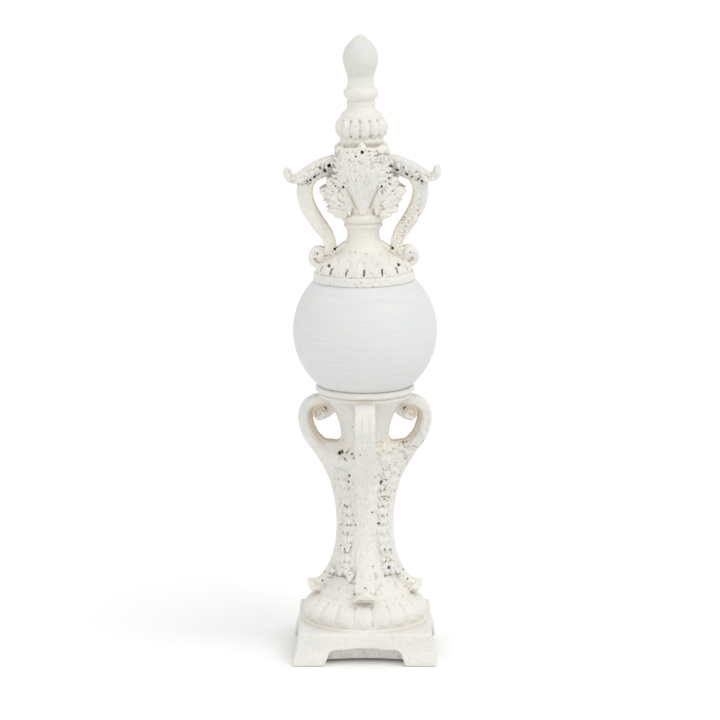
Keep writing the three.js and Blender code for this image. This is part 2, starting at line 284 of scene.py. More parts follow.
def rods(block, points, radii):
    """For each stretch of a rod along a line of points, the cubes near it and their distance to it."""
    p = np.array(points, float)
    radii = np.broadcast_to(radii, len(p))
    for a, b, ra, rb in zip(p, p[1:], radii, radii[1:]):
        cut, offset = block.local((a + b) / 2, np.linalg.norm(b - a) / 2 + max(ra, rb) + 2)
        half = (b - a) / 2
        s = np.clip(dot(offset, half) / max(half @ half, 1e-9), -1, 1)
        away = np.sqrt(sum((o - s * h) ** 2 for o, h in zip(offset, half)))
        yield cut, single(away - (ra + rb) / 2 - (rb - ra) / 2 * s)


def groove(block, points, radius, blend=0.5):
    """A round-bottomed groove cut along a line of points."""
    for cut, d in rods(block, points, radius):
        block.d[cut] = blend_max(block.d[cut], -d, blend)


def rope(block, points, radii, blend=0.8):
    """A round rod along a line of points, thick as the radii say."""
    for cut, d in rods(block, points, radii):
        block.d[cut] = blend_min(block.d[cut], d, blend)


def flutes(b, heights, rings, count, depth, offset, power, soft):
    """Grooves between lobes that stand side by side round the axis, at some heights and radii."""
    cut = b.near((-np.inf, -np.inf, heights[0] - soft), (np.inf, np.inf, heights[1] + soft))
    x, y, z = b.x[cut[0]], b.y[:, cut[1]], b.z[:, :, cut[2]]
    lobe = np.abs(np.sin(count * (np.arctan2(y, x) + QUARTER + offset) / 2))
    window = 1.0
    for at, (low, high), edge in ((z, heights, soft), (np.sqrt(x ** 2 + y ** 2), rings, 1.5)):
        window = window * ramp(at, low - edge, low + edge) * (1 - ramp(at, high - edge, high + edge))
    b.d[cut] += single(depth * (1 - lobe ** power) * window)


INWARD = np.array([(0, 1, 0), (-1, 0, 0), (0, -1, 0), (1, 0, 0)], float)


def surface_point(b, side, u, z):
    """The first place met from one side (0 front, 1 right, 2 back, 3 left), and the way in."""
    at = np.array([(u, 0, z), (0, u, z), (-u, 0, z), (0, -u, z)][side], float)
    i = [int(np.clip(round((at[k] - b.low[k]) / CUBE), 0, b.d.shape[k] - 1)) for k in range(3)]
    axis = 1 - side % 2
    line = b.d[i[0], :, i[2]] if axis else b.d[:, i[1], i[2]]
    solid = np.flatnonzero(line < 0)
    if not solid.size:
        return None, None
    at[axis] = b.axes[axis][solid[0 if INWARD[side][axis] > 0 else -1]]
    return at, INWARD[side]


def surface_line(b, side, places, depth):
    """Points a little under the surface of one side, at places across and up it."""
    met = [surface_point(b, side, u, z) for u, z in places]
    return [at + inward * depth for at, inward in met if at is not None]


def drill_from(b, side, u, z, radius, depth, slant=(0, 0, 0)):
    """A hole drilled from one side, with painted shade inside it."""
    at, inward = surface_point(b, side, u, z)
    if at is not None:
        drill(b, at, inward + slant, radius, depth)
        b.hole_shades.append((*(at + inward * HOLE_SHADE_DEPTH * radius), radius))


def pits(b, side, u_range, z_range, count, sizes):
    """Small casting pits scattered over what one side shows."""
    for _ in range(count):
        at, inward = surface_point(b, side, pick(*u_range), pick(*z_range))
        if at is not None:
            size = pick(*sizes)
            ball(b, at - inward * 0.2 * size, size, cut_away=True, blend=0.1)


def scratches(b, side, u_range, z_range, count, lengths, radii, tilts=(0, 3.2)):
    """Short bent cuts scattered over what one side shows."""
    for _ in range(count):
        u, z, turn = pick(*u_range), pick(*z_range), pick(*tilts)
        length, bend = pick(*lengths), sway(0.5)
        places = [(u + length * t * math.cos(turn + bend * t), z + length * t * math.sin(turn + bend * t))
                  for t in (-0.5, 0, 0.5)]
        line = surface_line(b, side, places, 0.15)
        if len(line) == 3 and np.ptp(np.array(line), axis=0).max() < 2 * length + 1:
            groove(b, line, pick(*radii), 0.3)


# Pedestal

def plinth(b):
    side = smooth([(PLINTH_FOOT - 1.2, 0), (PLINTH_FOOT, 2), (69.6, 8), (67, 16), (65.7, 28), (64.8, 31)])
    half = np.interp(b.z, side[:, 1], side[:, 0])
    d = blend_max(b.x - half, b.y - half, 2.5)
    d = blend_max(d, b.z - PLINTH_HEIGHT, 2.2)
    d = blend_max(d, -b.z, 0.8)
    right = [(40, -4), (39.4, 1), (36.5, 9), (34.5, 13.5), (30, 15.6), (20, 16), (8, 17.6)]
    arch = [*right, (0, 17.2), *((-x, z) for x, z in reversed(right))]
    mouth = edge_distance(b.axes[1][:, None], b.axes[2], smooth(arch, 4, closed=True))[0][None, :, :]
    scoop = (np.sqrt((b.y / ARCH_SCOOP) ** 2 + ((b.x - PLINTH_FOOT) / ARCH_DEPTH) ** 2) - 1) * ARCH_DEPTH
    scoop = scoop - 12.0 * (1 - ramp(b.z, 2.2, 3.4))
    recess = np.maximum(mouth, scoop)
    recess = np.minimum(recess, recess.transpose(1, 0, 2))
    return blend_max(d, -recess, 1.2)


def round_foot(b):
    lobes = smooth([(60.8, 36), (62, 40.5), (60.4, 47), (54.4, 53), (47.5, 56.4)])
    outline = [(0, 25), (63, 25), (63, 31.4), (62.6, 33.2), (61.6, 34.2), (60.4, 35), *lobes, (46.2, 57),
               *smooth([(45.4, 57.8), (43.6, 62), (38, 68)]), (0, 68)]
    return b.turned(outline)


def shaft(b):
    stem = smooth([(42, 60), (40, 65), (33.4, 80), (28.2, 98), (25.4, 122), (26, 150), (29.4, 178),
                   (31.6, 195), (30.8, 200)])
    bell = smooth([(21.8, 212.5), (23.5, 224), (28, 238), (35.5, 250), (42, 256)])
    outline = [(0, 58), (42.5, 58), *stem, (29, 201.6), (24.4, 209), *bell, (45.4, 256.9), (45.8, 258.2),
               (45.2, 259.4), (44.6, 260.2), (44.8, 260.8), *bead(48.8, 261.1, 267.6, 46.4), (0, 267.6)]
    return b.turned(outline)


LOOP = [(36, 246.0), (31.5, 243.6), (27.5, 237), (24.5, 226), (23.6, 216), (26.5, 211.4), (32, 211.8),
        (36.5, 212.2), (40.5, 213.8), (46.3, 220), (50.3, 229.5), (51.4, 237), (50.8, 241.6), (47, 244.8),
        (41, 245.4)]


def console(b):
    """The arm on the +x side."""
    face = smooth([(50, 59.5), (53, 60.6), (56, 64.6), (57.2, 70.6), (55.4, 71.2), (51.5, 70.2), (45, 73),
                   (38, 82), (29.8, 100.5), (27, 122), (28.6, 146.4), (36, 173.8), (49, 198.1), (59.4, 213.3),
                   (64.9, 228), (65.3, 240), (60.5, 250), (51.5, 256.2), (42, 257.2)], 6)
    web, _ = b.flat([(8, 60), *face, (8, 257.5)])
    hole, _ = b.flat(smooth(LOOP, 6, closed=True))
    outer, _ = b.flat(face, closed=False)
    reed = np.abs(b.y)
    on_face = np.exp(-(outer / 2.4) ** 2)
    top = ramp(b.z, 205, 228)
    stem = 1 - ramp(b.z, 176, 216)
    three = (1.45 * bump(reed, 3.5, 1.0) + 0.3 * bump(reed, 0, 0.5)) * top * (1 - ramp(b.z, 246, 252))
    one = (0.7 * bump(reed, 1.7, 0.8) + 0.5 * bump(reed, 5.2, 0.9)) * (1 - top)
    one = one * ramp(b.z, 72, 84)
    crown = 0.5 * (reed / CONSOLE_HALF) ** 2 + 1.7 * stem * (reed / 7) ** 2
    inward = np.clip(outer / CONSOLE_BAND, 0, 1)
    high = ramp(b.z, 196, 214)
    half = CONSOLE_HALF - 4.4 * ramp(inward, 0.5, 1.0) * high
    half = half - 2.9 * stem * (1 - ramp(inward, 0.2, 0.9)) * ramp(b.z, 72, 86)
    toe = (1 - ramp(b.z, 72, 80)) * ramp(b.x, 46, 52)
    half = half * (1 - toe) + toe * np.clip(11.8 - 1.12 * np.maximum(b.z - 62.5, 0), 1.6, 11.8)
    half = half - 1.8 * toe * ramp(b.x, 53.5, 58)
    d = web + single((three + one + crown) * on_face * (1 - toe))
    d = blend_max(d, reed - half, 1.8)
    d = blend_max(d, -hole, 1.4)
    vx, vz, vr = VOLUTE
    scroll = np.sqrt((b.x - vx) ** 2 + (b.z - vz) ** 2)
    turn = np.arctan2(b.z - vz, b.x - vx)
    spiral = (scroll - vr * (0.20 + 0.62 * ((turn + math.pi) / TURN))) / 0.8
    coil = scroll - vr + 0.8 * np.exp(-spiral ** 2) * ramp(reed, 5.5, 8.4)
    volute = blend_max(coil, reed - 9.3 + 1.5 * np.exp(-spiral ** 2), 1.2)
    hook_line, run = b.flat(smooth([(45, 234.6), (38.5, 238), (33.5, 243.5), (34, 251)], 8), closed=False)
    hook = blend_max(hook_line - (2.6 + 2.8 * run), reed - 6.6, 1.6)
    return blend_min(blend_min(d, volute, 0.7), hook, 1.4)


def around(point, turn):
    c, s = math.cos(turn), math.sin(turn)
    return np.array([point[0] * c - point[1] * s, point[0] * s + point[1] * c, point[2]])


def shaft_radius(z):
    return float(np.interp(z, [66, 80, 98, 122, 150, 178, 195, 201],
                           [39.5, 33.4, 28.2, 25.4, 26, 29.4, 31.6, 30.8]))


def husk(b, z, turn, width, height, stand):
    """One drooping husk of three lobes, with a fold down each."""
    for side in (-1, 0, 1):
        spot = turn + side * 0.30 * width / shaft_radius(z)
        root = around((shaft_radius(z + height * 0.5) - 0.6, 0, z + height * 0.55), spot - side * 0.05)
        low = z - height * (0.5 - 0.10 * abs(side)) + sway(0.35)
        tip = around((shaft_radius(low) + stand * (1 - 0.25 * abs(side)), 0, low), spot + side * 0.06)
        leaflet(b, root, tip, width * 0.52, stand * 1.9, around((1, 0, 0.2), spot), fold=0.22, blend=0.9)


def garland(b, middle):
    """A chain of husks down the shaft between two consoles, with small buds."""
    z = 86.0
    while z < 186:
        grow = 1 + 0.25 * (1 - ramp(z, 84, 100)) + 0.12 * ramp(z, 150, 186)
        turn = middle + sway(0.035)
        husk(b, z + sway(0.4), turn, 13.0 * grow, 9.8 * grow, pick(2.2, 2.8))
        if rng.random() < 0.75:
            side = rng.choice((-1, 1))
            at = around((shaft_radius(z + 4) + 0.7, 0, z + 4.5), turn + side * pick(0.24, 0.34))
            ball(b, at, pick(1.2, 2.0), (1, 1, 1.25), blend=1.0)
        z += 9.3 * grow * pick(0.94, 1.06)
    for side in (-1, 1):
        turn = middle + side * 0.33
        leaflet(b, around((35.6, 0, 86), turn), around((38.8, 0, 76.5), turn + side * 0.05), 9.0, 2.8,
                around((1, 0, 0.5), turn), fold=0.16, blend=1.4)


# The larger pits of the front, as places across and up it, with the radius of each
FRONT_PITS = [(-24.6, 200.8, 2.3), (-22, 203, 1.7), (-19.2, 197.5, 1.0), (-15.2, 181.5, 1.5), (-16, 175, 1.3),
              (15.8, 175, 1.6), (15.4, 172.6, 1.1), (-4.6, 209, 0.9), (-12, 229, 0.7), (-9.2, 131.5, 1.1),
              (6.9, 144.5, 1.1), (13.5, 132.6, 1.3), (-14.3, 113, 1.0), (-19.8, 106, 1.2), (19.2, 106, 1.1),
              (23, 87.7, 1.8), (7.7, 91, 0.9), (-15.4, 83.4, 0.8), (-18.7, 87.7, 0.8), (15.8, 81.7, 1.1),
              (-34.3, 80, 1.2), (-40, 78, 1.1), (-42, 70.8, 1.3), (37.6, 81, 1.0), (42, 72, 1.1),
              (-20, 150, 1.2), (-17.5, 148, 0.9), (17, 160, 1.0), (18.6, 157, 0.8), (-12, 141, 0.8),
              (-24, 92, 0.9)]
# The longer cuts of the front, as both ends of each and its radius
FRONT_CUTS = [((18.6, 205), (28.6, 199.4), 0.9), ((-21, 199), (-17.4, 195.8), 0.8),
              ((17, 99.5), (22, 97), 0.9), ((-29, 78.6), (-19, 79.8), 1.0), ((14, 79), (26, 80.6), 0.9),
              ((-15, 74.6), (-9.6, 75), 0.8), ((-30.6, 112), (-29.8, 98), 0.5),
              ((-27.4, 116), (-27, 101), 0.45), ((-8, 62.2), (8, 62.2), 1.3), ((0, 72.8), (-10.4, 64.8), 0.7),
              ((0, 72.8), (10.4, 64.8), 0.7), ((-11, 76), (-7.4, 90), 0.5), ((11, 76), (7.6, 90), 0.5),
              ((-18, 129.6), (-13, 130.4), 0.45), ((12, 131.8), (17, 132.2), 0.7),
              ((-17, 123), (-12.6, 125), 0.5)]


def console_details(b):
    """The scooped flanks of the turned-up toes, and the small waves in the lower edge of each loop."""
    for side in range(4):
        turn = side * QUARTER
        for y in (-1, 1):
            for at, radius, squash in (((51.0, y * 10.4, 66.8), 3.4, (1.3, 0.75, 0.85)),
                                       ((44.6, y * 11.8, 66.4), 2.4, (0.9, 1, 1.2))):
                if side % 2:
                    squash = (squash[1], squash[0], squash[2])
                ball(b, around(at, turn), radius, squash, cut_away=True, blend=1.6)
            for u, z, radius in ((29.5, 213.4, 1.3), (35, 214.2, 1.2), (40.2, 215.4, 1.0)):
                at = around((u + sway(0.5), y * 6.5, z - 0.9), turn)
                ball(b, at, radius * 1.25, cut_away=True)


def worn_faces(b):
    """Pits, cuts and rough patches. The front has the photo's own, and the other sides have their like."""
    for side in range(4):
        jog, largest = (0.0, 3.0) if side == 0 else (2.0, 1.5)
        flip = 1 if side % 2 == 0 else -1
        for u, z, radius in FRONT_PITS:
            u, z = flip * u + sway(1) * jog, z + sway(1) * jog
            if side % 2 == 0 or abs(u) < 30:
                radius = 0.86 * min(radius, largest)
                drill_from(b, side, u, z, radius, 5.0 + radius, (0, 0, 0.25))
        for (u0, z0), (u1, z1), radius in FRONT_CUTS:
            places = [(flip * (u0 + (u1 - u0) * t), z0 + (z1 - z0) * t) for t in np.linspace(0, 1, 7)]
            groove(b, surface_line(b, side, places, 0.3), radius)
        pits(b, side, sorted((flip * 14, flip * 60)), (150, 214), 430, (0.45, 1.0))
        pits(b, side, (-34, 34), (66, 208), 280, (0.3, 0.62))
        for band in ((-30, -9), (9, 30)):
            scratches(b, side, band, (70, 206), 38, (2.0, 6.5), (0.3, 0.5), (0.9, 2.2))
        scratches(b, side, sorted((flip * 12, flip * 56)), (176, 214), 60, (1.6, 4.0), (0.35, 0.7))
        pits(b, side, (-50, 50), (58, 84), 160, (0.35, 0.8))
        pits(b, side, (-9, 9), (128, 236), 120, (0.3, 0.6))
        pits(b, side, sorted((flip * 38, flip * 65)), (176, 240), 300, (0.35, 0.75))


def hollow_for_globe(b):
    r = np.sqrt(b.x ** 2 + b.y ** 2 + (b.z - GLOBE_Z) ** 2)
    b.d = np.maximum(b.d, single(GLOBE_RADIUS + SEAT_GAP - r))


def pedestal_block():
    quarter = Block((0, 0, -3), (74, 74, 270))
    arm = console(quarter)
    arms = np.minimum(arm, arm.transpose(1, 0, 2))
    joined = 1.0 + 7.5 * (1 - ramp(quarter.z, 186, 206)) * ramp(quarter.z, 62, 78)
    body = blend_min(single(shaft(quarter)), single(arms), joined)
    quarter.d = single(blend_min(body, round_foot(quarter), 0.8))
    b = quarter.mirrored()
    flutes(b, (37, 54.6), (46.5, 80), GADROONS, 2.7, GADROON_TURN, 0.4, 1.4)
    quarter.d = single(plinth(quarter))
    b.d = np.minimum(b.d, quarter.mirrored().d)
    for side in range(4):
        garland(b, QUARTER / 2 + side * QUARTER)
    console_details(b)
    worn_faces(b)
    hollow_for_globe(b)
    return b


# Crown

def collar_and_neck(b):
    dome = smooth([(46.6, 380.6), (47.0, 383), (45.4, 387.4), (40.5, 391), (33, 395.4), (25.4, 398.8)])
    neck = smooth([(22.5, 401.4), (18.8, 407), (16, 413.5), (15.6, 419), (16.8, 423.6)])
    outline = [(0, 365), (50, 365), (49.9, 371.5), (49.6, 375.4), (49, 379), (48, 380), (46.4, 380.4), *dome,
               (24.4, 399.6), (23.4, 400.6), *neck, (18.6, 424.5), (19, 426), (18.6, 427.4), (18, 428.3),
               *bead(22, 428.8, 440.5, 17.9), (0, 441)]
    return b.turned(outline)


def petal_slits(b):
    """The narrow slots between the petals, with painted shade inside each."""
    for i in range(PETALS):
        turn = -QUARTER + i * TURN / PETALS
        lean = sway(0.005)
        wide = pick(0.75, 1.0)
        for j, (r, z) in enumerate(((46.6, 382.2), (46.4, 383.8), (45.8, 385.4), (45.0, 387.0))):
            at = around((r, 0, z), turn + lean * j)
            drill(b, at, around((-1, 0, 0), turn), wide * (1 - 0.1 * j), 6.5)
            b.hole_shades.append((*around((r - 1.9, 0, z), turn + lean * j), 1.0))


def vase(b):
    body = smooth([(19, 438), (21.5, 444), (24.5, 452), (26, 466), (25.6, 482), (23.5, 495), (20.4, 503)])
    outline = [(0, 436), *body, (20.8, 505.6), (21.6, 507.4), (21.5, 509.8), (20.4, 511), (0, 512)]
    return b.turned(outline)


def fan_leaf(b):
    """The broad fan of ribs on the front and back of the vase, on the +y side."""
    spine = smooth([(21, 441), (24.5, 455), (28, 472), (29.8, 486), (30.4, 495), (28.8, 501.5)])
    radii, read = b.by_radius()
    distance, along = (read(table) for table in edge_distance(radii[:, None], b.axes[2], spine, closed=False))
    across = np.abs(np.arctan2(b.x, np.maximum(b.y, 1e-3))) * 28.0
    width = np.interp(along, [0, 0.15, 0.4, 0.6, 0.74, 0.86, 1.0], [6, 8.5, 15, 24, 28, 24.5, 21.5])
    teeth = 2.6 * np.abs(np.sin(math.pi * along * 8)) ** 0.8 * ramp(along, 0.35, 0.55)
    turn = np.clip(across / np.maximum(width, 1), 0, 1.4)
    ribs = 0.85 * np.abs(np.cos(math.pi * turn * 5.5)) ** 0.6 - 0.5
    thick = 2.7 + ribs * ramp(along, 0.06, 0.25) - 1.2 * turn ** 3 - 0.3 * bump(turn, 0, 0.05)
    d = blend_max(distance - thick, across - width + 1.4 - teeth, 1.2)
    return single(np.where(b.y > 0, d, FAR))


EAR = [(12, 437), (19.5, 439.5), (24, 436.6), (28, 435.8), (27.6, 438.8), (25.8, 441.2), (30, 440.2),
       (35.2, 441.4), (33.4, 444.8), (30.8, 447.4), (34.6, 448.6), (38.6, 452), (36.4, 454.2), (34.4, 455.6),
       (38.4, 457), (42.4, 461), (38.6, 464), (34.8, 465), (35.6, 468.6), (34.8, 473.4), (30, 474.6),
       (24, 478), (14, 478), (11, 462), (9.6, 448)]


def ear(b):
    """The thick serrated leaf that spreads to the +x side from the foot of the fan."""
    edge, _ = b.flat(EAR)
    middle = 20.5 - 0.33 * (b.x - 10) + 0.012 * (b.z - 455)
    turn = np.arctan2(b.z - 439.0, b.x - 8.0)
    reach = np.sqrt((b.x - 8) ** 2 + (b.z - 439) ** 2)
    veins = (0.45 * np.cos(turn * 19) + 0.2 * np.cos(turn * 43)) * ramp(reach, 5, 12)
    half = 1.2 + np.clip(-edge * 0.5, 0, 2.8) + veins
    return single(blend_max(np.abs(b.y - middle) - half, edge, 1.6))


def ear_lobes(b):
    """The puffed lobes of each ear, and the small serrated ones above it on the side of the fan."""
    tips = ((27.4, 436.6, 8.5), (34.4, 441.8, 9), (38, 451.6, 9.5), (41.6, 460.4, 10.5), (35, 470.6, 9.5))
    for sx, sy in itertools.product((1, -1), repeat=2):
        flip = np.array((sx, sy, 1))
        for x, z, width in tips:
            jog = rng.normal(0, 0.5, 3)
            root = flip * (12.5 + 0.12 * x, 20.4, 441 + 0.35 * (z - 441))
            tip = flip * (x, 21.6 - 0.33 * (x - 10), z) + jog
            leaflet(b, root, tip, width * 0.94, 6.8, (0.3 * sx, sy, 0), fold=0.34, ribs=4)
        for z, out in ((468, 27.5), (473.5, 29.5), (479, 29.0), (484.5, 27.5), (489.5, 26.5)):
            jog = rng.normal(0, 0.5, 3)
            tip = flip * (out, 17.5, z + 4.5) + jog
            leaflet(b, flip * (15.0, 24.5, z - 2), tip, 6.6, 4.6, (0.4 * sx, sy, 0.2), fold=0.3)


def ear_grooves(b):
    """The curved grooves that part the ears from the fan, with a drilled eye at the head of each."""
    course = ((6.6, 445), (8.6, 450), (11.2, 456.5), (14.6, 463), (18.4, 467))
    eyes = ((18.0, 466.5, 1.9), (23.5, 464.5, 0.8), (22, 462, 0.7), (26, 467, 0.9), (25.6, 474.5, 1.1),
            (28.6, 461, 0.8), (31, 457, 0.7), (24, 480, 0.9))
    for side, sx in itertools.product((0, 2), (1, -1)):
        groove(b, surface_line(b, side, [(sx * u, z) for u, z in course], 0.2), 0.95)
        for u, z, radius in eyes:
            u, z = u + sway(0.3), z + sway(0.3)
            drill_from(b, side, sx * u, z, radius * pick(0.75, 1.15), 5.5)


def side_leaves(b):
    """The lobes under the arms, on the left and the right of the vase."""
    for sx in (1, -1):
        for turn in (-0.5, 0, 0.5):
            root = around((21, 0, 444), turn) * (sx, 1, 1)
            tip = around((30.5 - 3 * abs(turn), 0, 472), turn * 1.15) * (sx, 1, 1)
            leaflet(b, root, tip, 13, 7, around((1, 0, -0.2), turn) * (sx, 1, 1), 0.3, ribs=4, blend=0.8)


def rim_curls(b):
    """The ruffled, rolled and pierced lip of the leaves round the top of the vase."""
    for i in range(RIM_CURLS):
        turn = TURN * i / RIM_CURLS + sway(0.05)
        front = abs(math.sin(turn))
        r = 21.6 + 5.6 * front ** 2
        root = around((r - 2.5, 0, 490.5 + 2 * front), turn)
        high = 495.6 + 3.4 * front + sway(1.5)
        tip = around((r + pick(1.0, 3.0), 0, high), turn + sway(0.09))
        leaflet(b, root, tip, pick(5, 8), 4.6, around((1, 0, 0.5), turn), fold=-0.25)
    for half in (1, -1):
        # The curled end on the one hand, and the broad drooping lobe on the other
        spot = np.array((half, half, 1))
        ball(b, spot * (-20.9, -15.4, 500.4), 4.6, blend=0.7)
        ball(b, spot * (-21.6, -20.2, 499.4), 1.6, cut_away=True)
        ball(b, spot * (-13.2, -21.0, 498.6), 3.9, (1.3, 1, 0.9))
        ball(b, spot * (-12.6, -25.6, 501.0), 1.1, cut_away=True)
        rope(b, spot * [(9.0, -27.2, 499.2), (14.5, -24.6, 500.8), (19.6, -19.2, 501.4), (22.8, -13.4, 499.8),
                        (23.6, -8.0, 497.2)], [2.2, 3.2, 4.2, 4.0, 3.4], blend=0.9)
        groove(b, spot * [(10.0, -30.2, 496.2), (15.0, -28.4, 497.4), (21.2, -23.4, 497.2),
                          (25.4, -16.4, 495.4)], 0.8)
        groove(b, spot * [(12.6, -27.6, 503.4), (15.6, -28.0, 499.6)], 0.6)
    holes = ((0.4, 500.4, 2.0, 6), (-5.8, 496.6, 1.2, 5), (-1.6, 506.4, 0.7, 3), (0.8, 471, 0.5, 3))
    for sy, side in ((1, 2), (-1, 0)):
        rope(b, [(0, sy * 23, 498), (0, sy * 26.6, 504.6), (0, sy * 27.6, 507.4)], [5.2, 4.0, 2.0], blend=1.2)
        for sx in (1, -1):
            rope(b, [(sx * 2.5, sy * 26, 499), (sx * 6.2, sy * 27.4, 502.4)], [3.2, 2.0])
            groove(b, [(sx * 3.2, sy * 30.4, 503.6), (sx * 4.6, sy * 30.4, 498.4)], 0.6)
        for hole in holes:
            drill_from(b, side, *hole)
    for side in range(4):
        scratches(b, side, (-24, 24), (488, 503), 26, (2.2, 5.0), (0.35, 0.65))
        scratches(b, side, (10, 26), (484, 497), 16, (2.5, 5.0), (0.5, 0.8))
        for _ in range(6):
            drill_from(b, side, pick(-25, 25), pick(489, 502), pick(0.5, 0.9), 3.5,
                       (sway(0.3), 0, sway(0.4)))
        pits(b, side, (-26, 26), (484, 506), 80, (0.35, 0.65))


HANDLE_INNER = [(18, 478), (30, 474), (43, 468), (47.8, 458), (44.6, 446), (37.7, 434), (29.7, 422),
                (26.2, 414), (25.8, 404)]


def handle(b):
    """The strap and its scroll, on the +x side."""
    line = smooth([(24, 484), (38, 479.5), (50.5, 473.5), (56.2, 461), (53.4, 446), (45.2, 431), (36.2, 418),
                   (32.2, 406), (33.5, 395), (39, 388.5)], 8)
    away, _ = b.strip(line, (10, 13, 15, 15.6, 15, 14.6, 14, 12.6, 11, 9))
    inner, _ = b.flat(HANDLE_INNER, closed=False)
    reed = np.abs(b.y)
    half = HANDLE_HALF - 3.2 * (1 - ramp(inner, 0.5, 6.5)) - 0.25 * bump(reed, 0, 2.5)
    reeds = 0.7 * bump(reed, 3.4, 0.9)
    band = blend_max(away + reeds, reed - half, 1.5)
    x, z, r = HANDLE_SCROLL
    spin = np.sqrt((b.x - x) ** 2 + (b.z - z) ** 2)
    turn = np.arctan2(b.z - z, x - b.x)
    coil = (spin - r * (0.28 + 0.72 * ((turn + math.pi) / TURN))) / 1.35
    coil = np.exp(-coil ** 2)
    scroll = blend_max(spin - r + reeds + 0.5 * coil, reed - 8.2 + 2.2 * coil, 2.0)
    scroll = scroll - 0.5 * np.exp(-(spin / 2.4) ** 2)
    tongue, _ = b.flat(smooth([(17, 405.5), (23.5, 400.5), (31, 394), (38, 387)], 6), closed=False)
    root = blend_max(tongue - 4.2, reed - 6.4, 1.6)
    return blend_min(blend_min(band, scroll, 0.9), root, 1.2)


def blade(b):
    """The leaf that lies along the top of each arm and turns up at its end, on the +x side."""
    line = smooth([(18, 490.5), (30, 489), (40, 485.6), (51, 480), (59, 474.4), (66, 471.6), (71, 473.2),
                   (73.4, 477.2), (73.4, 479.8)], 8)
    away, run = b.strip(line, (9, 9.5, 10.5, 10.5, 10.2, 10.4, 9.6, 7.8, 4.8))
    wide = np.interp(run, [0, 0.2, 0.45, 0.7, 0.85, 1.0], [8.5, 10, BLADE_HALF, 9.8, 8.6, 6.4])
    scallop = 1.4 * np.abs(np.sin(math.pi * run * 7)) ** 0.8 * ramp(run, 0.12, 0.25)
    reed = np.abs(b.y)
    veins = 0.36 * np.cos(TURN * (run * 9 - reed / 7)) * ramp(reed, 1.2, 4)
    crest = 0.7 * bump(reed, 0, 1.6) - 0.015 * reed ** 2
    return blend_max(away - veins - crest + 0.4, reed - wide + 1.2 - scallop, 1.8)


def blade_lobes(b):
    """The overlapping lobes along both flanks of each blade, and the knob at its end."""
    ridge = smooth([(27, 490), (38, 485.6), (49, 480.2), (56, 475.6), (61, 473.2)], 3)
    for sx in (1, -1):
        for sy in (1, -1):
            flip = np.array((sx, sy, 1))
            for x, z in ridge[::2]:
                x, z = x + sway(0.6), z + sway(0.5)
                leaflet(b, flip * (x - 2.5, 5.5, z + 2.2), flip * (x + 2.2, 10.4, z - 6.4), 7.0, 4.6,
                        (0, sy, 0.4), fold=0.25)
        ball(b, (sx * 71.6, 0, 477.0), 3.9, (0.85, 1.75, 1.4), blend=2.4)


def blade_holes(b):
    """The holes under each blade, and the cuts and pits on the front and back of the crown."""
    row = [(36.5, 477.4, 1.7), (43.5, 474.6, 1.7), (47.6, 472.6, 1.5), (52.5, 470.6, 1.5), (60, 467.8, 1.2),
           (30.4, 483.4, 2.3), (33.4, 478.6, 2.1), (41, 480.6, 0.9), (56, 469, 1.0)]
    for sx, side in itertools.product((1, -1), (0, 2)):
        for x, z, r in row:
            x, z = x + sway(1.5), z + sway(1.0)
            size = r * pick(0.35, 1.0)
            drill_from(b, side, sx * x, z + 1.2, size, 6)
            drill_from(b, side, sx * x + sway(1.3), z + 1.2 + sway(1), size * 0.7, 5)
        for x, *hole in ((33.5, 389.5, 1.5, 6), (28, 403, 1.7, 6), (45, 398.6, 0.9, 4)):
            drill_from(b, side, sx * x, *hole)
    for side in (0, 2):
        for band in ((-72, -28), (28, 72)):
            scratches(b, side, band, (466, 488), 26, (2.0, 4.5), (0.4, 0.8))
        for band in ((-41, -17), (17, 41)):
            scratches(b, side, band, (438, 486), 26, (2.0, 5.0), (0.3, 0.6))
        scratches(b, side, (-48, 48), (381, 402), 44, (1.8, 4.5), (0.3, 0.55))
        scratches(b, side, (-24, 24), (512, 535), 14, (1.8, 4.0), (0.3, 0.5))
        pits(b, side, (-78, 78), (466, 486), 300, (0.35, 0.8))
        pits(b, side, (32, 56), (404, 452), 420, (0.35, 0.85))
        pits(b, side, (-56, 20), (400, 452), 160, (0.3, 0.6))
        pits(b, side, (-50, 50), (372, 402), 420, (0.3, 0.7))
        for band in ((-42, -14), (14, 42)):
            pits(b, side, band, (436, 482), 150, (0.3, 0.65))
        scratches(b, side, (-16, 16), (452, 486), 16, (3.0, 8.0), (0.25, 0.4), (1.3, 1.85))


def top_knob(b):
    melon = smooth([(20.5, 511), (23.8, 513.8), (25.6, 519), (25.5, 524), (23.4, 528.4), (20.4, 531)])
    waist = smooth([(20, 533), (18.4, 535.6), (15, 538), (13.4, 541.6)])
    bulb = smooth([(12.7, 565.5), (13.1, 571), (14.9, 577), (16.7, 583), (17.2, 588), (16.6, 592.4),
                   (14.6, 597.6), (11.2, 602.4), (7.2, 606.2), (3.6, 609.2), (0, HEIGHT + 0.5)])
    outline = [(0, 508), *melon, (20.4, 531.6), *waist, (13.8, 542.8), (14.2, 544.6), (14, 546), (13, 546.8),
               (13, 547.4), *bead(17, 547.8, 560.6, 13.3), (13.2, 562), (12.9, 563.6), *bulb]
    ridges = 0.26 * np.sin(b.z * 2.7) * ramp(b.z, 565, 568) * (1 - ramp(b.z, 576, 592))
    return b.turned(outline) + single(ridges)


def melon_pits(b):
    for i in range(MELON_LOBES):
        turn = -QUARTER - MELON_TURN + i * TURN / MELON_LOBES
        drill(b, around((24.4, 0, 513.6), turn), around((-1, 0, 0.1), turn), pick(0.8, 1.35), 5)
        # Painted shade inside each pit of the lower row
        b.hole_shades.append((*around((22.6, 0, 513.8), turn), pick(0.7, 1.3)))
        drill(b, around((23.5, 0, 529.5), turn), around((-1, 0, -0.6), turn), pick(0.4, 0.9), 3)


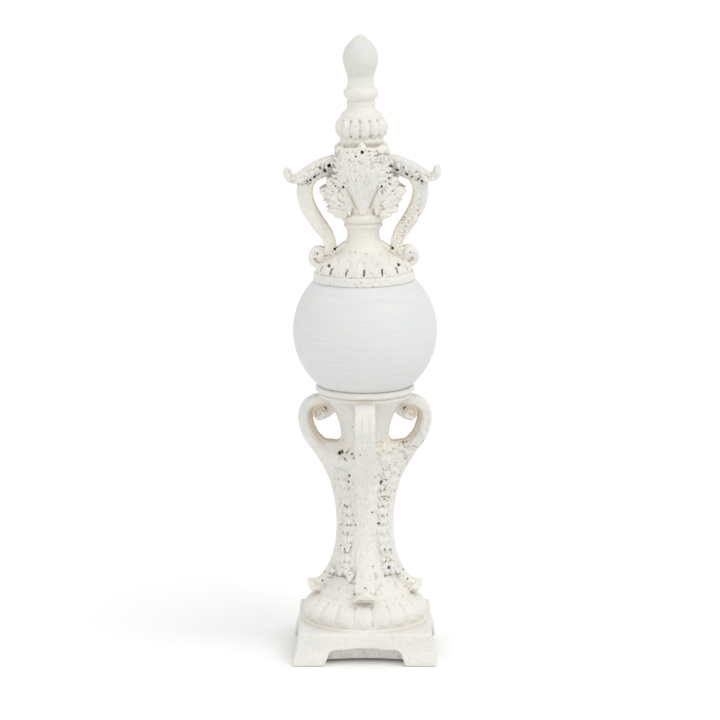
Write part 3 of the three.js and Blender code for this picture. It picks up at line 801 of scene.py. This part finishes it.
def crown_block():
    quarter = Block((0, 0, 366), (80, 53, 613))
    parts = np.minimum(collar_and_neck(quarter), top_knob(quarter))
    parts = blend_min(parts, vase(quarter), 0.8)
    parts = blend_min(parts, fan_leaf(quarter), 0.6)
    parts = blend_min(parts, ear(quarter), 1.0)
    arm = blend_min(handle(quarter), blade(quarter), 0.9)
    quarter.d = single(blend_min(parts, arm, 1.0))
    b = quarter.mirrored()
    side_leaves(b)
    rim_curls(b)
    flutes(b, (382.6, 394), (29, 60), PETALS, 1.9, 0.0, 0.6, 1.2)
    flutes(b, (389, 397.4), (23, 39), PETALS, 1.1, math.pi / PETALS, 0.6, 1.0)
    flutes(b, (512.6, 529.4), (17, 40), MELON_LOBES, 3.2, MELON_TURN, 1.0, 1.6)
    ear_lobes(b)
    blade_lobes(b)
    ear_grooves(b)
    petal_slits(b)
    blade_holes(b)
    melon_pits(b)
    hollow_for_globe(b)
    return b


# From blocks to pieces

def box_blur(a, radius):
    """A mean over a small box, along each axis in turn."""
    n = max(1, int(radius / (2 * CUBE)))
    wide = 2 * n + 1
    for axis in range(3):
        a = np.moveaxis(a, axis, 0)
        sums = np.cumsum(np.pad(a, ((n + 1, n), (0, 0), (0, 0)), mode="edge"), axis=0, dtype=np.float32)
        a = np.moveaxis((sums[wide:] - sums[:-wide]) / wide, 0, axis)
    return a


def sample(grid, step, low, points):
    """Trilinear readings of a grid at points."""
    p = np.clip((points - low) / step, 0, np.array(grid.shape) - 1.001)
    i = p.astype(int)
    f = p - i
    out = 0
    for dx, dy, dz in itertools.product((0, 1), repeat=3):
        weight = abs(1 - dx - f[:, 0]) * abs(1 - dy - f[:, 1]) * abs(1 - dz - f[:, 2])
        out = out + weight * grid[i[:, 0] + dx, i[:, 1] + dy, i[:, 2] + dz]
    return out


def lumps(points, size, seed):
    """Smooth seeded noise at points, from about -1 to 1."""
    low = points.min(0) - size
    shape = np.ceil((points.max(0) - low) / size).astype(int) + 3
    grid = np.random.default_rng(seed).uniform(-1, 1, shape)
    p = (points - low) / size
    base = np.floor(p)
    return sample(grid, 1.0, 0.0, base + ramp(p - base, 0, 1))


def skin(block, name):
    """The surface of a block as a mesh in millimetres."""
    grid = vdb.FloatGrid(background=FAR)
    grid.copyFromArray(np.clip(block.d, -3 * CUBE, 3 * CUBE))
    points, _, quads = grid.convertToPolygons(isovalue=0.0, adaptivity=0.0)
    points = points * CUBE + block.low
    mesh = bpy.data.meshes.new(name)
    corners = quads.ravel()
    mesh.vertices.add(len(points))
    mesh.vertices.foreach_set("co", single(points).ravel())
    mesh.loops.add(len(corners))
    mesh.loops.foreach_set("vertex_index", corners.astype(np.int32))
    mesh.polygons.add(len(quads))
    mesh.polygons.foreach_set("loop_start", np.arange(0, len(corners), 4, dtype=np.int32))
    mesh.update(calc_edges=True)
    return mesh


def keep_largest(mesh):
    """Which vertices belong to the largest connected part, and not to a crumb that a drill has left."""
    edges = np.zeros(len(mesh.edges) * 2, int)
    mesh.edges.foreach_get("vertices", edges)
    edges = edges.reshape(-1, 2)
    label = np.arange(len(mesh.vertices))
    while True:
        low = np.minimum(label[edges[:, 0]], label[edges[:, 1]])
        fresh = label.copy()
        np.minimum.at(fresh, edges[:, 0], low)
        np.minimum.at(fresh, edges[:, 1], low)
        fresh = fresh[fresh]
        if np.array_equal(fresh, label):
            break
        label = fresh
    return label == np.bincount(label).argmax()


def finished(mesh, name):
    """Drops the crumbs of a mesh, thins it to its budget, and gives it back as an object."""
    obj = bpy.data.objects.new(name, mesh)
    bpy.context.scene.collection.objects.link(obj)
    keep = keep_largest(mesh)
    if not keep.all():
        work = bmesh.new()
        work.from_mesh(mesh)
        work.verts.ensure_lookup_table()
        bmesh.ops.delete(work, geom=[v for v, k in zip(work.verts, keep) if not k], context="VERTS")
        work.to_mesh(mesh)
        work.free()
    triangles = sum(len(p.vertices) - 2 for p in mesh.polygons)
    if triangles > MOST_TRIANGLES:
        thin = obj.modifiers.new("thin", "DECIMATE")
        thin.ratio = MOST_TRIANGLES / triangles
        made = bpy.data.meshes.new_from_object(obj.evaluated_get(bpy.context.evaluated_depsgraph_get()))
        obj.modifiers.clear()
        obj.data = made
    return obj


def values_of(data, name):
    """The triples of numbers that Blender holds for each vertex of a mesh."""
    values = np.zeros(len(data) * 3, np.float32)
    data.foreach_get(name, values)
    return values.reshape(-1, 3).astype(float)


def pedestal_tints(x, y, z):
    """Beige of the loops' inner bands, cool paint (none), the most the painted crevice shade may count, and
    cream: painted highlight on the shoulder under the bell, and a cream tint on the toes.
    """
    u, v = np.maximum(np.abs(x), np.abs(y)), np.minimum(np.abs(x), np.abs(y))
    inner = 1 - ramp(edge_distance(u, z, smooth(LOOP, 4, closed=True), closed=False)[0], 3.6, 5.4)
    bell = np.interp(z, [209, 212.5, 224, 238, 250, 256], [26, 21.8, 23.5, 28, 35.5, 42])
    out = np.hypot(x, y)
    inner = inner * ramp(out, bell + 2, bell + 4) * ramp(z, 208, 212) * (v < 11)
    # Painted highlight on the shoulder under the bell, which faces up into the light, and a cream tint on the
    # toes
    cream_and_highlight = 0.45 * ramp(z, 200, 206) * (1 - ramp(z, 210, 218)) * (1 - ramp(out, 30, 36))
    cream_and_highlight = cream_and_highlight + 0.35 * ramp(out, 44, 48) * bump(z, 70, 9)
    return inner, np.zeros(len(x)), 1.0 - 0.42 * ramp(z, 205, 209), cream_and_highlight


def crown_tints(x, y, z):
    """Beige (none), cool paint of the bulb, the most the painted crevice shade may count, and cream: painted
    highlight on the handles' inner bands, and a cream tint round the neck.
    """
    # Painted highlight on the inner bands of the handles, and a cream tint round the neck
    inner = 1 - ramp(edge_distance(np.abs(x), z, HANDLE_INNER, closed=False)[0], 4.4, 6.4)
    clear = np.interp(z, [400, 425, 441, 447, 470], [23, 20, 24, 35, 36])
    inner = inner * ramp(np.abs(x), clear, clear + 3) * (np.abs(y) < 9.5) * ramp(z, 401, 405)
    cream_and_highlight = np.maximum(inner * (1 - ramp(z, 470, 475)), 0.3 * ramp(z, 400, 404) * (1 - ramp(z, 440, 446)))
    return np.zeros(len(x)), ramp(z, 565, 574), 1.0 - 0.42 * ramp(z, 516, 518), cream_and_highlight


def casting(block, name, tints, lean=0.0):
    """A finished casting: skinned, marked for its paint and for its painted shade and highlight, roughened,
    and set in metres.
    """
    obj = finished(skin(block, name + "_skin"), name)
    mesh = obj.data
    mesh.name = name
    co, no = values_of(mesh.vertices, "co"), values_of(mesh.vertex_normals, "vector")
    solid = np.clip(0.5 - block.d[::2, ::2, ::2] / (2 * CUBE), 0, 1)

    def closeness(reach, lift):
        """How much of the space around each point is solid, from a little above the surface."""
        return sample(box_blur(box_blur(solid, reach), reach), 2 * CUBE, block.low, co + no * lift)

    inner, cool, cap, cream_and_highlight = tints(*co.T)
    # Painted shade inside the drilled holes and slots
    hole_shade = np.zeros(len(co))
    for x, y, z, radius in block.hole_shades:
        far = np.linalg.norm(co - (x, y, z), axis=1)
        hole_shade = np.maximum(hole_shade, 1 - ramp(far, radius * 1.05, radius * 1.7))
    # Painted shade in broad recesses and tight crevices, by how much solid surrounds each point
    marks = {"recess_shade": closeness(5.0, 2.0), "cream_and_highlight": cream_and_highlight, "crevice_shade": np.minimum(closeness(1.6, 0.8), cap),
             "inner": inner, "cool": cool, "hole_shade": hole_shade}
    for key, values in marks.items():
        layer = mesh.attributes.new(key, "FLOAT", "POINT")
        layer.data.foreach_set("value", single(values))
    rough = 0.12 * lumps(co, 6.0, 1) + 0.09 * lumps(co, 2.2, 2)
    co = co + no * rough[:, None]
    co[:, 2] = np.maximum(co[:, 2], 0.0)
    mesh.vertices.foreach_set("co", single(co.ravel()))
    rise = Matrix.Translation((0, 0, GLOBE_Z))
    turn = rise @ Matrix.Rotation(-lean, 4, "Y") @ rise.inverted()
    mesh.transform(Matrix.Scale(MM, 4) @ turn)
    mesh.shade_smooth()
    mesh.update()
    return obj


def globe():
    """The plain ball, with a faint waviness."""
    work = bmesh.new()
    bmesh.ops.create_uvsphere(work, u_segments=192, v_segments=128, radius=GLOBE_RADIUS)
    mesh = bpy.data.meshes.new("globe_ball")
    work.to_mesh(mesh)
    work.free()
    co = values_of(mesh.vertices, "co")
    out = co / np.linalg.norm(co, axis=1)[:, None]
    rough = 0.05 * lumps(co, 14.0, 5) + 0.03 * lumps(co * (0.35, 0.35, 3.0), 4.0, 6) - 0.08
    co = out * (GLOBE_RADIUS + rough)[:, None] + (0, 0, GLOBE_Z)
    mesh.vertices.foreach_set("co", single(co.ravel()))
    mesh.transform(Matrix.Scale(MM, 4))
    mesh.shade_smooth()
    obj = bpy.data.objects.new("globe_ball", mesh)
    bpy.context.scene.collection.objects.link(obj)
    return obj


# Materials
SHEEN = 0.3
# Near black for painted shade in the deepest crevices and inside holes
PAINTED_SHADE_BROWN = (0.085, 0.06, 0.04)


def add_node(tree, kind, sockets=(), **settings):
    """A new shader node with its settings, and a value or a link for each of the given sockets."""
    made = tree.nodes.new("ShaderNode" + kind)
    for key, value in settings.items():
        setattr(made, key, value)
    for key, value in dict(sockets).items():
        if isinstance(value, bpy.types.NodeSocket):
            tree.links.new(value, made.inputs[key])
        else:
            made.inputs[key].default_value = value
    return made


class Paint:
    """A material, with short forms of the nodes that colour it."""

    def __init__(self, name):
        self.material = bpy.data.materials.new(name)
        self.material.use_nodes = True
        self.tree = self.material.node_tree
        self.shader = self.tree.nodes["Principled BSDF"]

    def attribute(self, name):
        return add_node(self.tree, "Attribute", attribute_name=name).outputs["Fac"]

    def ramp(self, source, low, high):
        sockets = {"Value": source, "From Min": low, "From Max": high}
        made = add_node(self.tree, "MapRange", sockets, interpolation_type="SMOOTHSTEP")
        return made.outputs["Result"]

    def noise(self, scale, detail=4.0, stretch=(1, 1, 1)):
        place = add_node(self.tree, "TexCoord").outputs["Object"]
        spread = add_node(self.tree, "Mapping", {"Vector": place, "Scale": stretch})
        sockets = {"Vector": spread.outputs["Vector"], "Scale": scale, "Detail": detail}
        return add_node(self.tree, "TexNoise", sockets).outputs["Fac"]

    def times(self, a, b):
        return add_node(self.tree, "Math", {0: a, 1: b}, operation="MULTIPLY").outputs["Value"]

    def mix(self, amount, a, b):
        a, b = ((*v, 1) if isinstance(v, tuple) else v for v in (a, b))
        sockets = {"Factor": amount, 6: a, 7: b}
        return add_node(self.tree, "Mix", sockets, data_type="RGBA").outputs[2]

    def finish(self, color, roughness, height, strength, distance):
        """Joins the colour, the roughness and a bumpy height to the shader, and gives the material back."""
        sockets = {"Height": height, "Strength": strength, "Distance": distance}
        normal = add_node(self.tree, "Bump", sockets).outputs["Normal"]
        for name, source in (("Base Color", color), ("Roughness", roughness), ("Normal", normal)):
            self.tree.links.new(source, self.shader.inputs[name])
        self.shader.inputs["Specular IOR Level"].default_value = SHEEN
        return self.material


def distressed_ivory_with_painted_light():
    p = Paint("distressed_ivory_with_painted_light")
    crevice_shade, mottle = p.attribute("crevice_shade"), p.noise(26.0, 5.0)
    color = p.mix(p.ramp(mottle, 0.36, 0.66), (0.765, 0.745, 0.695), (0.715, 0.712, 0.682))
    layers = (
        (p.ramp(p.noise(150.0), 0.46, 0.64), 0.45, (0.785, 0.755, 0.69)),
        (p.ramp(p.noise(210.0, 3.0), 0.52, 0.68), 0.35, (0.64, 0.64, 0.61)),
        (p.attribute("cool"), 0.75, (0.655, 0.665, 0.625)),
        # Cream tint, and painted highlight on the handles' inner bands and the bell's shoulder
        (p.attribute("cream_and_highlight"), 0.85, (0.87, 0.815, 0.705)),
        (p.attribute("inner"), 0.72, (0.60, 0.505, 0.375)),
        # Painted shade in recesses
        (p.ramp(p.attribute("recess_shade"), 0.38, 0.60), 0.62, (0.69, 0.625, 0.505)),
        # Painted shade in crevices, brown and then near black where deepest
        (p.ramp(crevice_shade, 0.35, 0.58), 0.68, (0.55, 0.47, 0.345)),
        (p.ramp(crevice_shade, 0.62, 0.84), 1.0, PAINTED_SHADE_BROWN),
        # Painted shade inside holes
        (p.attribute("hole_shade"), 0.86, PAINTED_SHADE_BROWN),
        (p.ramp(p.noise(620.0, 2.0), 0.68, 0.75), 0.3, (0.45, 0.39, 0.31)),
    )
    for amount, most, tint in layers:
        color = p.mix(p.times(amount, most), color, tint)
    return p.finish(color, p.ramp(mottle, -0.9, 1.35), p.noise(300.0, 9.0), 0.95, 0.0013)


def cool_white():
    p = Paint("cool_white")
    lines = p.noise(30.0, 4.0, (1, 1, 14))
    color = p.mix(p.ramp(lines, 0.3, 0.72), (0.69, 0.70, 0.685), (0.655, 0.67, 0.66))
    return p.finish(color, p.ramp(lines, -1.2, 1.7), p.noise(90.0, 5.0, (1, 1, 9)), 0.3, 0.0006)


def pale_floor():
    p = Paint("pale_floor")
    color = p.mix(p.noise(3.0), (0.93, 0.93, 0.93), (0.95, 0.95, 0.95))
    p.tree.links.new(color, p.shader.inputs["Base Color"])
    p.shader.inputs["Roughness"].default_value = 0.9
    return p.material


# Camera, light and floor
CAMERA_BACK = 2984.0
CAMERA_UP = 883.0
CAMERA_PITCH = math.radians(11.21)
CAMERA_LENS = 155.2
AXIS_PIXEL = 365.0
FRAME_PIXELS = 720.0
FLOOR_SIZE = 60
# Each sun's name, place, angle and strength
SUNS = [("key", (1.2, -0.9, 2.1), 0.75, 1.05), ("fill", (-1.6, -1.5, 1.2), 1.6, 0.35)]
# The sky is a little brighter near the horizon than above it
SKY = {"From Min": 0.10, "From Max": 0.32, "To Min": 1.02, "To Max": 0.79}


def set_stage():
    scene = bpy.context.scene
    data = bpy.data.cameras.new("camera")
    data.lens = CAMERA_LENS
    data.clip_end = FLOOR_SIZE
    data.shift_x = (FRAME_PIXELS / 2 - AXIS_PIXEL) / FRAME_PIXELS
    camera = bpy.data.objects.new("camera", data)
    camera.location = (0, -CAMERA_BACK * MM, CAMERA_UP * MM)
    camera.rotation_euler = (QUARTER - CAMERA_PITCH, 0, 0)
    scene.collection.objects.link(camera)
    scene.camera = camera

    bpy.ops.mesh.primitive_plane_add(size=FLOOR_SIZE)
    floor = bpy.context.object
    floor.name = "floor"
    floor.data.materials.append(pale_floor())

    for name, place, angle, strength in SUNS:
        light = bpy.data.lights.new(name, "SUN")
        light.angle, light.energy = angle, strength
        lamp = bpy.data.objects.new(name, light)
        lamp.location = place
        lamp.rotation_euler = (-Vector(place)).to_track_quat("-Z", "Y").to_euler()
        scene.collection.objects.link(lamp)
    world = bpy.data.worlds.new("world")
    world.use_nodes = True
    tree = world.node_tree
    background = tree.nodes["Background"]
    background.inputs["Color"].default_value = (1, 1, 1, 1)
    way = add_node(tree, "TexCoord").outputs["Generated"]
    height = add_node(tree, "SeparateXYZ", {"Vector": way}).outputs["Z"]
    glow = add_node(tree, "MapRange", {"Value": height, **SKY}).outputs["Result"]
    tree.links.new(glow, background.inputs["Strength"])
    scene.world = world
    scene.view_settings.view_transform = "Standard"


# The whole finial
set_stage()
ivory = distressed_ivory_with_painted_light()
pieces = [
    (casting(pedestal_block(), "pedestal_casting", pedestal_tints), "pedestal", ivory, "ivory_paint"),
    (globe(), "globe", cool_white(), "cool_white_paint"),
    (casting(crown_block(), "crown_casting", crown_tints, CROWN_LEAN), "crown", ivory, "ivory_paint"),
]
for piece, node, material, slot in pieces:
    piece.data.materials.clear()
    piece.data.materials.append(material)
    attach(piece, "root")
    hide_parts(node)
